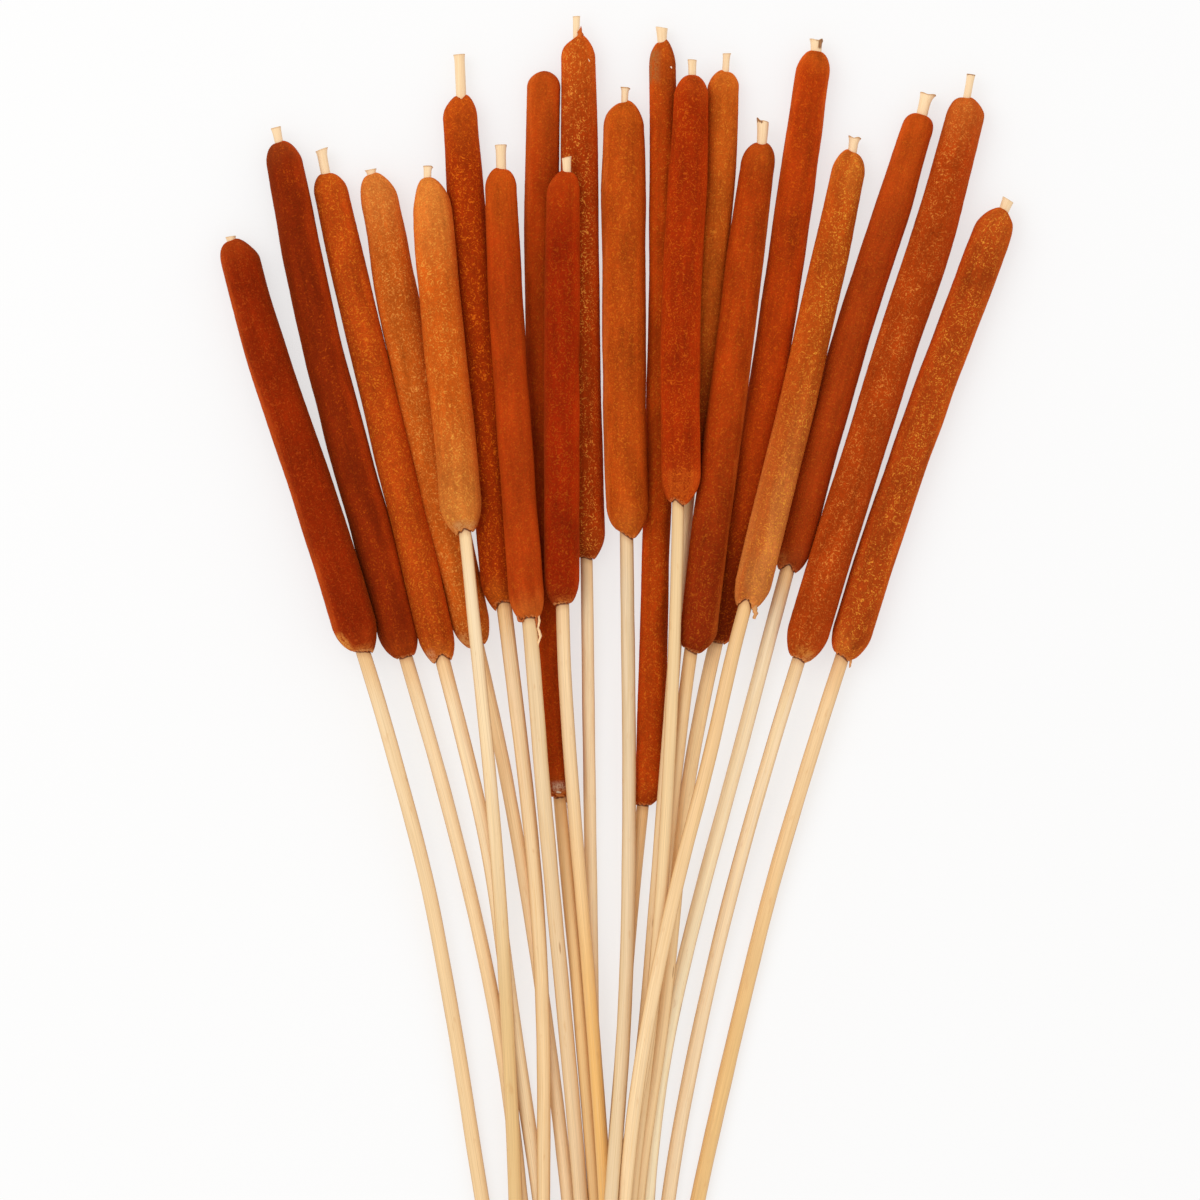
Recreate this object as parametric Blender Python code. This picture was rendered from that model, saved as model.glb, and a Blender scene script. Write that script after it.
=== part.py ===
"""A loose fan of twenty dried cattails lying flat: one stalk and one seed head each."""

import bpy
import math
import numpy as np

# Every outline is measured on the photo, in its pixels (x to the right, y down, 1200 by 1200),
# and one pixel is 0.4 mm on the surface that the cattails lie on.
MM_PER_PIXEL = 0.4
MM = 0.001

# Contact in the pile
SOLID_SHARE = 0.965      # the solid's radius as a share of the measured one, which counts the nap
GAP = 0.3                # clearance between any two solids, mm
STEP = 1.25              # spacing of the points that feel contact, mm
NODE_STEP = 6.0          # spacing of the points that bend, mm
STALK_STIFFNESS = 2.5e3  # N mm2
HEAD_STIFFNESS = 4.0e4   # N mm2
STALK_WEIGHT = 3.0e-4    # N per mm
HEAD_WEIGHT = 6.0e-4     # N per mm
GROUND_PULL = 8.0e-5     # N per mm per mm, so that a loose rod settles

# Facets
STALK_SIDES = 8
BORE_SIDES = 8
HEAD_SIDES = 10
STALK_RINGS = 12
HEAD_MIDDLE_RINGS = 4

# tip: its top and its foot, with its width; None where the photo hides it
# head: the middle line from top to bottom; radius: at the top, middle and bottom
# stem: the middle line downwards; width: at the head and at the photo's edge
CATTAILS = [
    dict(tip=((231.5, 237), (232, 243)), tip_width=9, radius=(20.5, 21.5, 22.5),
         head=((238, 243), (250, 300), (263, 340), (275, 380), (302, 460), (316, 500), (329, 540),
               (346, 600), (363, 651)),
         stem=((366, 656), (378, 700), (389, 740), (401, 780), (413, 820), (424, 860), (440, 940),
               (454, 1020), (467, 1100), (474, 1150), (482, 1200)), width=(14, 14), foot=(495.5, 1282)),
    dict(tip=((276.5, 128), (279.5, 143)), tip_width=9, radius=(18.5, 20, 20),
         head=((282, 144), (291, 200), (300, 240), (311, 300), (320, 340), (331, 380), (345, 440),
               (356, 480), (375, 540), (384, 580), (399, 640), (404, 656)),
         stem=((406, 657), (418.5, 700), (431, 740), (441, 780), (457, 840), (467.6, 880), (486, 960),
               (503, 1040), (514, 1120), (522, 1200)), width=(13.5, 13.5), foot=(530.5, 1301)),
    dict(tip=((321.5, 150), (326, 174)), tip_width=10, radius=(17, 18, 18),
         head=((328, 175), (332, 200), (346, 260), (355, 300), (365, 340), (380, 400), (388.5, 440),
               (398, 480), (414, 540), (423, 580), (437.5, 640), (441, 659)),
         stem=((443, 660), (452.5, 700), (464, 740), (474, 780), (487, 840), (495, 880), (505, 960),
               (515, 1040), (524.5, 1100), (535, 1160), (540, 1200)), width=(13.5, 13.5),
         foot=(551, 1289)),
    dict(tip=((371.5, 170), (372, 176)), tip_width=9, radius=(18.5, 20, 20),
         head=((376, 175), (378, 200), (392, 260), (399.5, 300), (421, 400), (430, 440), (442, 500),
               (457, 560), (467, 600), (475, 642)),
         stem=((477, 644), (492, 700), (507.5, 780), (522, 860), (535, 940), (546, 1020), (558, 1100),
               (569, 1200)), width=(13, 13), foot=(578, 1304)),
    dict(tip=((428, 167), (428, 180)), tip_width=8, radius=(18.5, 21, 21.5),
         head=((431, 180), (433, 220), (437, 260), (440, 300), (444, 340), (451, 400), (456, 440),
               (460, 480), (463, 531)),
         stem=((465, 530), (468.5, 560), (473, 600), (476.5, 640), (480, 680), (487, 740), (491, 780),
               (496, 840), (499, 880), (505, 960), (508.5, 1040), (514, 1150), (516, 1200)),
         width=(11.5, 13), foot=(518.5, 1293)),
    dict(tip=((459.5, 55), (461.5, 99)), tip_width=10.5, radius=(16, 18, 18),
         head=((461, 100), (462, 140), (467, 200), (475.5, 300), (484, 400), (491, 480), (497, 560),
               (500, 603)),
         stem=((503.6, 600), (509, 640), (515.5, 700), (526, 780), (532, 840), (536, 880), (540, 940),
               (543, 1000), (544, 1040), (544, 1100), (543.5, 1200)), width=(14, 12),
         foot=(543.5, 1278)),
    dict(tip=((501, 146), (501.5, 171)), tip_width=11, radius=(15.5, 17.5, 18),
         head=((500, 171), (501.6, 200), (503.5, 240), (505.5, 300), (508, 340), (512, 400),
               (518, 480), (521, 520), (526, 590), (528.5, 616)),
         stem=((530, 617), (533, 660), (536, 700), (542, 780), (548, 840), (552, 880), (559, 960),
               (567, 1040), (575, 1120), (581, 1200)), width=(14.5, 14.5), foot=(588.5, 1297)),
    dict(tip=None, tip_width=0, radius=(16, 17, 15.5),
         head=((545, 72), (543.5, 120), (542.5, 160), (541, 260), (542, 400), (545, 520), (550, 640),
               (554, 720), (558, 795)),
         stem=((559, 797), (562, 820), (568, 880), (575, 960), (582, 1040), (588, 1110), (596, 1200)),
         width=(12.5, 12.5), foot=(600.5, 1284)),
    dict(tip=((566.5, 159), (567, 176)), tip_width=9, radius=(16.5, 18, 18),
         head=((564, 175), (563.5, 210), (561.5, 260), (561.5, 400), (562, 500), (562.5, 580),
               (561.5, 603)),
         stem=((562, 603), (563.3, 660), (568, 740), (576, 840), (584, 920), (591, 1000), (597, 1080),
               (603, 1160), (606, 1200)), width=(13, 13), foot=(609, 1302)),
    dict(tip=((576.5, 17), (576.5, 40)), tip_width=7, radius=(17, 19, 18.5),
         head=((578, 38), (578.7, 80), (579, 120), (579.7, 160), (580.5, 280), (581.5, 400),
               (584.5, 500), (588, 556)),
         stem=((586.5, 556), (587.5, 640), (588.3, 700), (589.6, 780), (591, 900), (592.5, 1000),
               (593.5, 1080), (595.5, 1200)), width=(11.5, 12), foot=(593, 1291)),
    dict(tip=((625, 88), (624.5, 103)), tip_width=7.5, radius=(19, 22, 21),
         head=((625, 103), (624.4, 140), (623.6, 240), (623.5, 300), (624.7, 400), (625, 460),
               (626, 500), (629, 534)),
         stem=((626, 530), (627, 580), (628.5, 660), (629.7, 760), (629.5, 860), (628, 940),
               (625, 1020), (621, 1080), (615.6, 1140), (610.5, 1200)), width=(13, 13.5),
         foot=(604.5, 1280)),
    dict(tip=((661.5, 28), (662, 44)), tip_width=9, radius=(12.5, 14, 15.5),
         head=((663, 44), (663.5, 120), (663.5, 180), (663, 240), (662, 300), (661, 400), (658, 480),
               (656.5, 540), (652.5, 640), (651, 740), (650, 804)),
         stem=((643, 806), (637.5, 840), (633, 880), (629, 940), (625, 1020), (618, 1100), (607, 1200)),
         width=(12, 12), foot=(604, 1299)),
    dict(tip=((692, 61), (692, 77)), tip_width=8.5, radius=(16.5, 20, 20),
         head=((691, 77), (691, 120), (689.5, 160), (686, 200), (684, 240), (681, 280), (680, 320),
               (679.7, 400), (679.5, 480), (681, 502)),
         stem=((677.5, 498), (677.6, 540), (675.4, 620), (672.3, 700), (668, 780), (663.5, 860),
               (660, 920), (655, 980), (648.5, 1040), (638.5, 1100), (627.5, 1150), (614.5, 1200)),
         width=(11.5, 13), foot=(610.5, 1303)),
    dict(tip=((726.5, 54), (725.5, 70)), tip_width=7.5, radius=(15, 16, 16),
         head=((721, 71), (722.5, 80), (722.5, 110), (721, 160), (718, 200), (709, 300), (699, 400),
               (690, 484)),
         stem=((687, 500), (681, 575), (672, 680), (664.5, 790), (656.5, 880), (649.5, 980),
               (643.5, 1040), (638, 1090), (631, 1140), (621, 1200)), width=(12.5, 12.5),
         foot=(617, 1286)),
    dict(tip=((763, 121), (761, 147)), tip_width=9.5, radius=(16.5, 19, 19),
         head=((760, 147), (755, 180), (753, 200), (747.4, 240), (741.7, 280), (737, 320), (733, 360),
               (727, 400), (716.5, 480), (712, 520), (706, 560), (700, 600), (696.5, 651)),
         stem=((690, 650), (685.5, 700), (674, 780), (665.5, 840), (660.5, 920), (656.5, 960),
               (652, 1000), (647, 1060), (641, 1110), (635, 1160), (628.5, 1200)), width=(13, 13),
         foot=(623.5, 1292)),
    dict(tip=((816, 40), (816, 50)), tip_width=11, radius=(17, 18.5, 18.5),
         head=((815, 51), (812, 80), (808.6, 100), (803, 140), (797, 180), (786, 260), (777, 320),
               (765, 400), (758, 440), (750, 480), (734, 560), (718, 641)),
         stem=((715, 643), (704, 700), (694, 740), (684, 800), (677, 860), (674, 920), (665.5, 1000),
               (656, 1080), (643, 1140), (634.5, 1200)), width=(13, 13), foot=(630, 1279)),
    dict(tip=((854, 138), (852, 152)), tip_width=10, radius=(16.5, 18.5, 18.5),
         head=((852, 152), (842.6, 200), (833.7, 240), (824.6, 280), (815, 320), (806, 360),
               (799, 400), (788, 440), (773.5, 500), (757, 560), (748, 605)),
         stem=((744.5, 600), (733, 660), (721.5, 700), (713, 740), (704, 780), (687, 840), (676, 880),
               (658.5, 960), (642.4, 1040), (630, 1120), (623, 1200)), width=(13.5, 13.5),
         foot=(617, 1296)),
    dict(tip=((926, 94), (921.5, 115)), tip_width=11, radius=(16.5, 18.5, 18.5),
         head=((921, 115), (914.7, 140), (897, 200), (882.7, 240), (867.4, 280), (855, 320),
               (834.5, 400), (821.6, 440), (809.5, 480), (801.8, 520), (791, 560), (788, 568)),
         stem=((786, 565), (779.7, 600), (769, 640), (753, 700), (732, 780), (709, 860), (689, 940),
               (673.7, 1000), (657, 1080), (652, 1140), (645.2, 1200)), width=(12.5, 13),
         foot=(642, 1305)),
    dict(tip=((970.5, 75), (966.5, 98)), tip_width=8, radius=(18, 21, 21.5),
         head=((964, 98), (959.4, 140), (953, 160), (942, 200), (928.3, 240), (916.5, 280),
               (904.2, 320), (891.2, 360), (879.5, 400), (867.1, 440), (854.4, 480), (842, 520),
               (829, 560), (816.2, 600), (804.8, 640), (801, 658)),
         stem=((797.7, 660), (786.5, 700), (773.5, 740), (755.1, 800), (739.9, 860), (724, 920),
               (708.4, 980), (696.6, 1040), (684.2, 1100), (673.6, 1160), (667.3, 1200)),
         width=(12.5, 13.5), foot=(657, 1287)),
    dict(tip=((1007.5, 200), (1002, 214)), tip_width=9.5, radius=(18, 20, 20.5),
         head=((997, 208), (990.5, 240), (981.8, 260), (967.1, 300), (950.9, 340), (936.9, 380),
               (922, 420), (908, 460), (894.7, 500), (880.5, 540), (867.1, 580), (855.4, 620),
               (845, 656)),
         stem=((840.9, 660), (828, 700), (815.7, 740), (796.2, 800), (778, 860), (762.3, 920),
               (748, 980), (733.4, 1040), (720, 1100), (705.8, 1160), (696.6, 1200)),
         width=(13.5, 14.5), foot=(679, 1298)),
]

# From the bottom of the pile to its top, as the photo shows them cover one another
PILE_ORDER = (12, 10, 14, 4, 2, 18, 16, 8, 3, 1, 6, 19, 20, 15, 13, 7, 9, 17, 11, 5)


def smoothed(points, times=2):
    """Takes the reading error out of a measured line and keeps its ends."""
    line = np.array(points, float)
    for _ in range(times):
        inner = 0.25 * line[:-2] + 0.5 * line[1:-1] + 0.25 * line[2:]
        # Points are unevenly spaced, so they only move across the line
        along = line[2:] - line[:-2]
        along /= np.linalg.norm(along, axis=1)[:, None]
        move = inner - line[1:-1]
        move -= (move * along).sum(axis=1)[:, None] * along
        line[1:-1] += move
    return line


def curve(points, step):
    """A smooth curve through the points, with even spacing."""
    points = np.array(points, float)
    ends = np.vstack([2 * points[0] - points[1], points, 2 * points[-1] - points[-2]])
    fine = []
    for p0, p1, p2, p3 in zip(ends, ends[1:], ends[2:], ends[3:]):
        knots = np.cumsum([0] + [max(np.linalg.norm(b - a), 1e-6) ** 0.5
                                 for a, b in ((p0, p1), (p1, p2), (p2, p3))])
        t0, t1, t2, t3 = knots
        for t in np.linspace(t1, t2, 24, endpoint=False):
            a1 = (t1 - t) / (t1 - t0) * p0 + (t - t0) / (t1 - t0) * p1
            a2 = (t2 - t) / (t2 - t1) * p1 + (t - t1) / (t2 - t1) * p2
            a3 = (t3 - t) / (t3 - t2) * p2 + (t - t2) / (t3 - t2) * p3
            b1 = (t2 - t) / (t2 - t0) * a1 + (t - t0) / (t2 - t0) * a2
            b2 = (t3 - t) / (t3 - t1) * a2 + (t - t1) / (t3 - t1) * a3
            fine.append((t2 - t) / (t2 - t1) * b1 + (t - t1) / (t2 - t1) * b2)
    fine.append(points[-1])
    fine = np.array(fine)
    run = np.concatenate([[0], np.cumsum(np.linalg.norm(np.diff(fine, axis=0), axis=1))])
    places = np.linspace(0, run[-1], int(round(run[-1] / step)) + 1)
    return np.column_stack([np.interp(places, run, fine[:, k]) for k in range(fine.shape[1])])


def run_of(line):
    return np.concatenate([[0], np.cumsum(np.linalg.norm(np.diff(line, axis=0), axis=1))])


def to_mm(points):
    points = np.array(points, float)
    return np.column_stack([points[:, 0] - 600, 600 - points[:, 1]]) * MM_PER_PIXEL


def end_share(place, length, radius, top):
    """How far the head has grown to its full radius at a place along it, from 0 to 1."""
    share = 1.0
    for reach, start, at in ((0.95, 0.56, place), (0.9, 0.6, length - place)):
        part = min(max(at / (reach * radius), 0), 1)
        share = min(share, start + (1 - start) * math.sqrt(1 - (1 - part) ** 2.2))
    return share


class Cattail:
    def __init__(self, number, facts):
        self.number = number
        head = smoothed(to_mm(facts["head"]))
        stem = smoothed(to_mm(facts["stem"] + (facts["foot"],)))
        # The stalk keeps to the middle of the head and leaves it where the photo shows
        inner = [p for p in curve(head, 25.0)[1:-1]]
        if np.linalg.norm(inner[0] - head[0]) < 18:
            inner = inner[1:]
        if np.linalg.norm(inner[-1] - head[-1]) < 18:
            inner = inner[:-1]
        if facts["tip"]:
            tip = list(to_mm(facts["tip"]))
        else:
            tip = [head[0] + (head[1] - head[0]) * 0.25]
        stem = [p for p in stem if p[1] < head[-1][1] - 3]
        exit_point = to_mm([facts["stem"][0]])[0]
        self.path = curve(tip + inner + [exit_point] + stem, STEP)
        self.run = run_of(self.path)
        self.head = curve(head, STEP)
        self.head_run = run_of(self.head)
        self.length = self.head_run[-1]
        near = lambda point: int(np.argmin(np.linalg.norm(self.path - point, axis=1)))
        self.top, self.bottom = near(self.head[0]), near(self.head[-1])
        top_r, mid_r, low_r = [r * MM_PER_PIXEL * SOLID_SHARE for r in facts["radius"]]
        share = self.head_run / self.length
        wide = np.interp(share, [0, 0.22, 0.75, 1], [top_r, mid_r, mid_r, low_r])
        self.head_r = np.array([w * end_share(p, self.length, w, True)
                                for w, p in zip(wide, self.head_run)])
        # Stalk radius along its run
        tip_r = (facts["tip_width"] or 9) * 0.5 * MM_PER_PIXEL * SOLID_SHARE
        up_r, down_r = [w * 0.5 * MM_PER_PIXEL * SOLID_SHARE for w in facts["width"]]
        stops = [0, self.run[self.top] + 3, self.run[self.top] + 20, self.run[self.bottom] - 6,
                 self.run[-1]]
        self.stalk_r = np.interp(self.run, stops, [tip_r, tip_r, 1.9, up_r, down_r])
        # The head's ends lean over to the stalk, which may leave them off centre
        stalk_at_top, stalk_at_bottom = self.path[self.top], self.path[self.bottom]
        lean_top = np.clip(1 - self.head_run / 9.0, 0, 1)[:, None] ** 1.5
        lean_low = np.clip(1 - (self.length - self.head_run) / 9.0, 0, 1)[:, None] ** 1.5
        if not facts["tip"]:
            lean_top *= 0
        self.head = self.head + 0.8 * lean_top * (stalk_at_top - self.head[0])
        self.head = self.head + 0.8 * lean_low * (stalk_at_bottom - self.head[-1])
        # What touches: the head's body, and the stalk outside it
        outside = np.r_[0:self.top, self.bottom:len(self.path)]
        spots = np.vstack([self.head, self.path[outside]])
        self.spot_r = np.concatenate([self.head_r, self.stalk_r[outside]])
        self.spots = spots
        gap = ((spots[:, None, :] - self.path[None, :, :]) ** 2).sum(axis=2)
        self.spot_run = self.run[gap.argmin(axis=1)]
        # The bending rod
        count = int(round(self.run[-1] / NODE_STEP)) + 1
        self.nodes = np.linspace(0, self.run[-1], count)
        h = self.nodes[1]
        inside = (self.nodes > self.run[self.top]) & (self.nodes < self.run[self.bottom])
        bend = np.zeros((count - 2, count))
        for k in range(count - 2):
            bend[k, k:k + 3] = (1, -2, 1)
        stiff = np.where(inside, HEAD_STIFFNESS, STALK_STIFFNESS)[1:-1] / h ** 3
        weight = np.where(inside, HEAD_WEIGHT, STALK_WEIGHT) * h
        self.give = np.linalg.inv(bend.T @ (stiff[:, None] * bend) + GROUND_PULL * h * np.eye(count))
        self.free = -self.give @ weight
        self.z = np.full(count, 3.0)

    def height(self, run):
        return np.interp(run, self.nodes, self.z)

    def settle(self, others):
        """Lets the rod down on the surface and on what lies under it."""
        low = self.spot_r.copy()
        for other in others:
            apart2 = ((self.spots[:, None, :] - other.spots[None, :, :]) ** 2).sum(axis=2)
            reach = self.spot_r[:, None] + other.spot_r[None, :] + GAP
            lift2 = reach ** 2 - apart2
            touching = lift2 > 0
            if not touching.any():
                continue
            heights = other.height(other.spot_run)
            rise = np.where(touching, np.sqrt(np.maximum(lift2, 0)) + heights[None, :], -1)
            low = np.maximum(low, rise.max(axis=1))
        # Each bending point carries the highest need around it
        h = self.nodes[1]
        need = np.full(len(self.nodes), 0.0)
        place = self.spot_run / h
        for k in range(len(self.nodes)):
            close = np.abs(place - k) <= 0.62
            need[k] = low[close].max() if close.any() else 2.6
        held = []
        for _ in range(400):
            if held:
                push = np.linalg.solve(self.give[np.ix_(held, held)], need[held] - self.free[held])
                if push.min() < -1e-9:
                    held.pop(int(push.argmin()))
                    continue
                z = self.free + self.give[:, held] @ push
            else:
                z = self.free
            short = need - z
            worst = int(short.argmax())
            if short[worst] < 0.02 or worst in held:
                break
            held.append(worst)
        self.z = np.maximum(z, need - 0.05)


def pile(cattails):
    """Lays them down one by one, each on the surface and on those already there."""
    for place, number in enumerate(PILE_ORDER):
        cattails[number - 1].settle([cattails[other - 1] for other in PILE_ORDER[:place]])


def ring(centre, forward, radius, sides, turn=0.0):
    """Points of one cross-section, square to the direction that the rod runs in."""
    forward = forward / np.linalg.norm(forward)
    side = np.cross(forward, (0, 0, 1))
    side /= np.linalg.norm(side)
    up = np.cross(side, forward)
    angles = (np.arange(sides) + turn) * 2 * math.pi / sides
    return centre + radius * (np.cos(angles)[:, None] * side + np.sin(angles)[:, None] * up)


def space_line(plan, run, heights_at):
    return np.column_stack([plan, heights_at(run)])


def direction(line, index):
    low, high = max(index - 3, 0), min(index + 3, len(line) - 1)
    return line[high] - line[low]


def band(first, second, sides):
    return [(first + k, second + k, second + (k + 1) % sides, first + (k + 1) % sides)
            for k in range(sides)]


def zip_rings(outer, outer_sides, inner, inner_sides, flip):
    """Triangles of the flat end between the outer ring and the bore."""
    faces, i, j = [], 0, 0
    while i < outer_sides or j < inner_sides:
        if j >= inner_sides or (i < outer_sides and (i + 1) / outer_sides <= (j + 1) / inner_sides):
            face = (outer + i % outer_sides, outer + (i + 1) % outer_sides, inner + j % inner_sides)
            i += 1
        else:
            face = (outer + i % outer_sides, inner + (j + 1) % inner_sides, inner + j % inner_sides)
            j += 1
        faces.append(face[::-1] if flip else face)
    return faces


def add_object(name, verts, faces, material, shift):
    mesh = bpy.data.meshes.new(name)
    mesh.from_pydata([tuple((np.array(v) + shift) * MM) for v in verts], [], faces)
    mesh.materials.append(material)
    mesh.update()
    obj = bpy.data.objects.new(name, mesh)
    bpy.context.scene.collection.objects.link(obj)
    return obj


def principled(name, colour, roughness):
    material = bpy.data.materials.new(name)
    material.use_nodes = True
    shader = material.node_tree.nodes["Principled BSDF"]
    shader.inputs["Base Color"].default_value = (*colour, 1)
    shader.inputs["Roughness"].default_value = roughness
    return material


def stalk_mesh(cattail):
    line = space_line(cattail.path, cattail.run, cattail.height)
    last = len(line) - 1
    stations = [0, max(cattail.top, 2)]
    stations += [int(v) for v in np.linspace(cattail.top + 18, last, STALK_RINGS - 1)]
    stations = sorted(set(stations))
    verts, faces = [], []
    for k in stations:
        verts += list(ring(line[k], direction(line, k), cattail.stalk_r[k], STALK_SIDES))
    for n in range(len(stations) - 1):
        faces += band(n * STALK_SIDES, (n + 1) * STALK_SIDES, STALK_SIDES)
    faces.append(tuple(range(STALK_SIDES)))
    start = (len(stations) - 1) * STALK_SIDES
    faces.append(tuple(range(start, start + STALK_SIDES))[::-1])
    return verts, faces, stations


def head_mesh(cattail, stalk_stations):
    """A sleeve round the stalk. It is closed at the top where no tip comes out."""
    stalk = space_line(cattail.path, cattail.run, cattail.height)
    # The stalk as its facets run, which the bore has to clear
    corners = np.array(stalk_stations)
    facet_line = np.column_stack([np.interp(cattail.run, cattail.run[corners], stalk[corners, k])
                                  for k in range(3)])
    near = lambda p: int(np.argmin(np.linalg.norm(cattail.path - p, axis=1)))
    last = len(cattail.head) - 1
    lengths = cattail.head_run
    mids = list(np.linspace(9.5, cattail.length - 9.5, HEAD_MIDDLE_RINGS + 2))
    places = [0, 1.3, 4.0] + mids + [cattail.length - 4.0, cattail.length - 1.3, cattail.length]
    stations = [int(np.argmin(np.abs(lengths - p))) for p in places]
    centres = []
    for k in stations:
        at = near(cattail.head[k])
        centres.append(np.array([*cattail.head[k], stalk[at, 2]]))
    centres = np.array(centres)
    forward = [centres[min(n + 1, len(centres) - 1)] - centres[max(n - 1, 0)]
               for n in range(len(centres))]
    forward[0] = forward[1] = forward[2] = centres[3] - centres[1]
    forward[-1] = forward[-2] = forward[-3] = centres[-2] - centres[-4]
    verts, faces = [], []
    for n, k in enumerate(stations):
        verts += list(ring(centres[n], forward[n], cattail.head_r[k], HEAD_SIDES))
    for n in range(len(stations) - 1):
        faces += band(n * HEAD_SIDES, (n + 1) * HEAD_SIDES, HEAD_SIDES)
    # Bore rings at the two ends and at every corner of the stalk between them
    inside = [k for k in stalk_stations if cattail.top + 6 < k < cattail.bottom - 6]
    bore_at = []
    closed_top = cattail.number == 8
    for n, end in ((0, cattail.top), (len(stations) - 1, cattail.bottom)):
        if n == 0 and closed_top:
            continue
        # The point of the stalk's run that lies in the plane of this end
        axis = forward[n] / np.linalg.norm(forward[n])
        off = np.abs((facet_line - centres[n]) @ axis)
        window = np.abs(np.arange(len(facet_line)) - end) < 12
        at = int(np.where(window, off, 1e9).argmin())
        flat = facet_line[at] - ((facet_line[at] - centres[n]) @ axis) * axis
        bore_at.append((at, flat, forward[n]))
    bore = [(k, facet_line[k], direction(stalk, k)) for k in inside]
    if closed_top:
        first = stalk_stations[0]
        along = direction(stalk, first)
        bore = [(first, facet_line[first] - 1.2 * along / np.linalg.norm(along), along)] + bore
        bore += bore_at
    else:
        bore = [bore_at[0]] + bore + [bore_at[1]]
    base = len(verts)
    clear = (GAP + 0.05) / math.cos(math.pi / BORE_SIDES)
    for at, centre, along in bore:
        verts += list(ring(centre, along, cattail.stalk_r[at] + clear, BORE_SIDES))
    for n in range(len(bore) - 1):
        faces += [face[::-1] for face in band(base + n * BORE_SIDES, base + (n + 1) * BORE_SIDES,
                                              BORE_SIDES)]
    last_outer = (len(stations) - 1) * HEAD_SIDES
    last_bore = base + (len(bore) - 1) * BORE_SIDES
    if closed_top:
        faces.append(tuple(range(HEAD_SIDES)))
        faces.append(tuple(range(base, base + BORE_SIDES))[::-1])
    else:
        faces += zip_rings(0, HEAD_SIDES, base, BORE_SIDES, False)
    faces += zip_rings(last_outer, HEAD_SIDES, last_bore, BORE_SIDES, True)
    return verts, faces


def main():
    for obj in list(bpy.data.objects):
        bpy.data.objects.remove(obj)
    cattails = [Cattail(number + 1, facts) for number, facts in enumerate(CATTAILS)]
    pile(cattails)
    made = []
    for cattail in cattails:
        verts, faces, stations = stalk_mesh(cattail)
        made.append(("stalk", cattail.number, verts, faces))
        verts, faces = head_mesh(cattail, stations)
        made.append(("head", cattail.number, verts, faces))
        print(cattail.number, "tallest point of its middle line, mm:", round(cattail.z.max(), 1),
              "length, mm:", round(cattail.run[-1]), "head, mm:", round(cattail.length))
    everything = np.vstack([np.array(verts) for _, _, verts, _ in made])
    low, high = everything.min(axis=0), everything.max(axis=0)
    shift = np.array([-(low[0] + high[0]) / 2, -(low[1] + high[1]) / 2, -low[2]])
    straw = principled("straw", (0.72, 0.52, 0.29), 0.55)
    velvet = principled("velvet", (0.36, 0.09, 0.02), 0.95)
    for kind, number, verts, faces in made:
        name = "%s_%02d" % (kind, number)
        add_object(name, verts, faces, straw if kind == "stalk" else velvet, shift)
    print("size, mm:", np.round(high - low, 1), "shift, mm:", np.round(shift, 2))


main()
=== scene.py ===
import bmesh
import bpy
import math
import numpy as np
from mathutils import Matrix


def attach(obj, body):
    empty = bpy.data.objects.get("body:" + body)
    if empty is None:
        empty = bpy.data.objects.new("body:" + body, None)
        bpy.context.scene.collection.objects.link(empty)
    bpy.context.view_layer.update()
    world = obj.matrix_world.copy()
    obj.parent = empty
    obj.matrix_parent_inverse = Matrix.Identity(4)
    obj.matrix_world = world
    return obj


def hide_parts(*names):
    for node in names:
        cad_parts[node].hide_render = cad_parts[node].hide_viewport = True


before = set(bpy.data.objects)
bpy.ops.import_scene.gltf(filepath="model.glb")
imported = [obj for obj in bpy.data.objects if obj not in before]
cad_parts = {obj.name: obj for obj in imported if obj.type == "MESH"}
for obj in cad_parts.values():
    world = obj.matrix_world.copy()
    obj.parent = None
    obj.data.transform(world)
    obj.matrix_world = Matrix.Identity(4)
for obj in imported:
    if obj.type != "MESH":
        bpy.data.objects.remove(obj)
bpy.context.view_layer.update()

millimetre = 0.001
photoCentre = (-6.61, 24.46)   # the spot in the middle of the photo, mm
photoWidth = 480.0             # how much of the surface the photo spans, mm
cameraHeight = 5000.0


# Shader maths: a wire is a socket that Python can calculate with

class Wire:
    def __init__(self, shader, socket):
        self.shader, self.socket = shader, socket

    def calc(self, operation, *values):
        return self.shader.node("Math", {"operation": operation}, dict(enumerate(values)))

    def __add__(self, other):
        return self.calc("ADD", self, other)

    __radd__ = __add__

    def __sub__(self, other):
        return self.calc("SUBTRACT", self, other)

    def __rsub__(self, other):
        return self.calc("SUBTRACT", other, self)

    def __mul__(self, other):
        return self.calc("MULTIPLY", self, other)

    __rmul__ = __mul__

    def away(self):
        return self.calc("ABSOLUTE", self)


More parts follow.
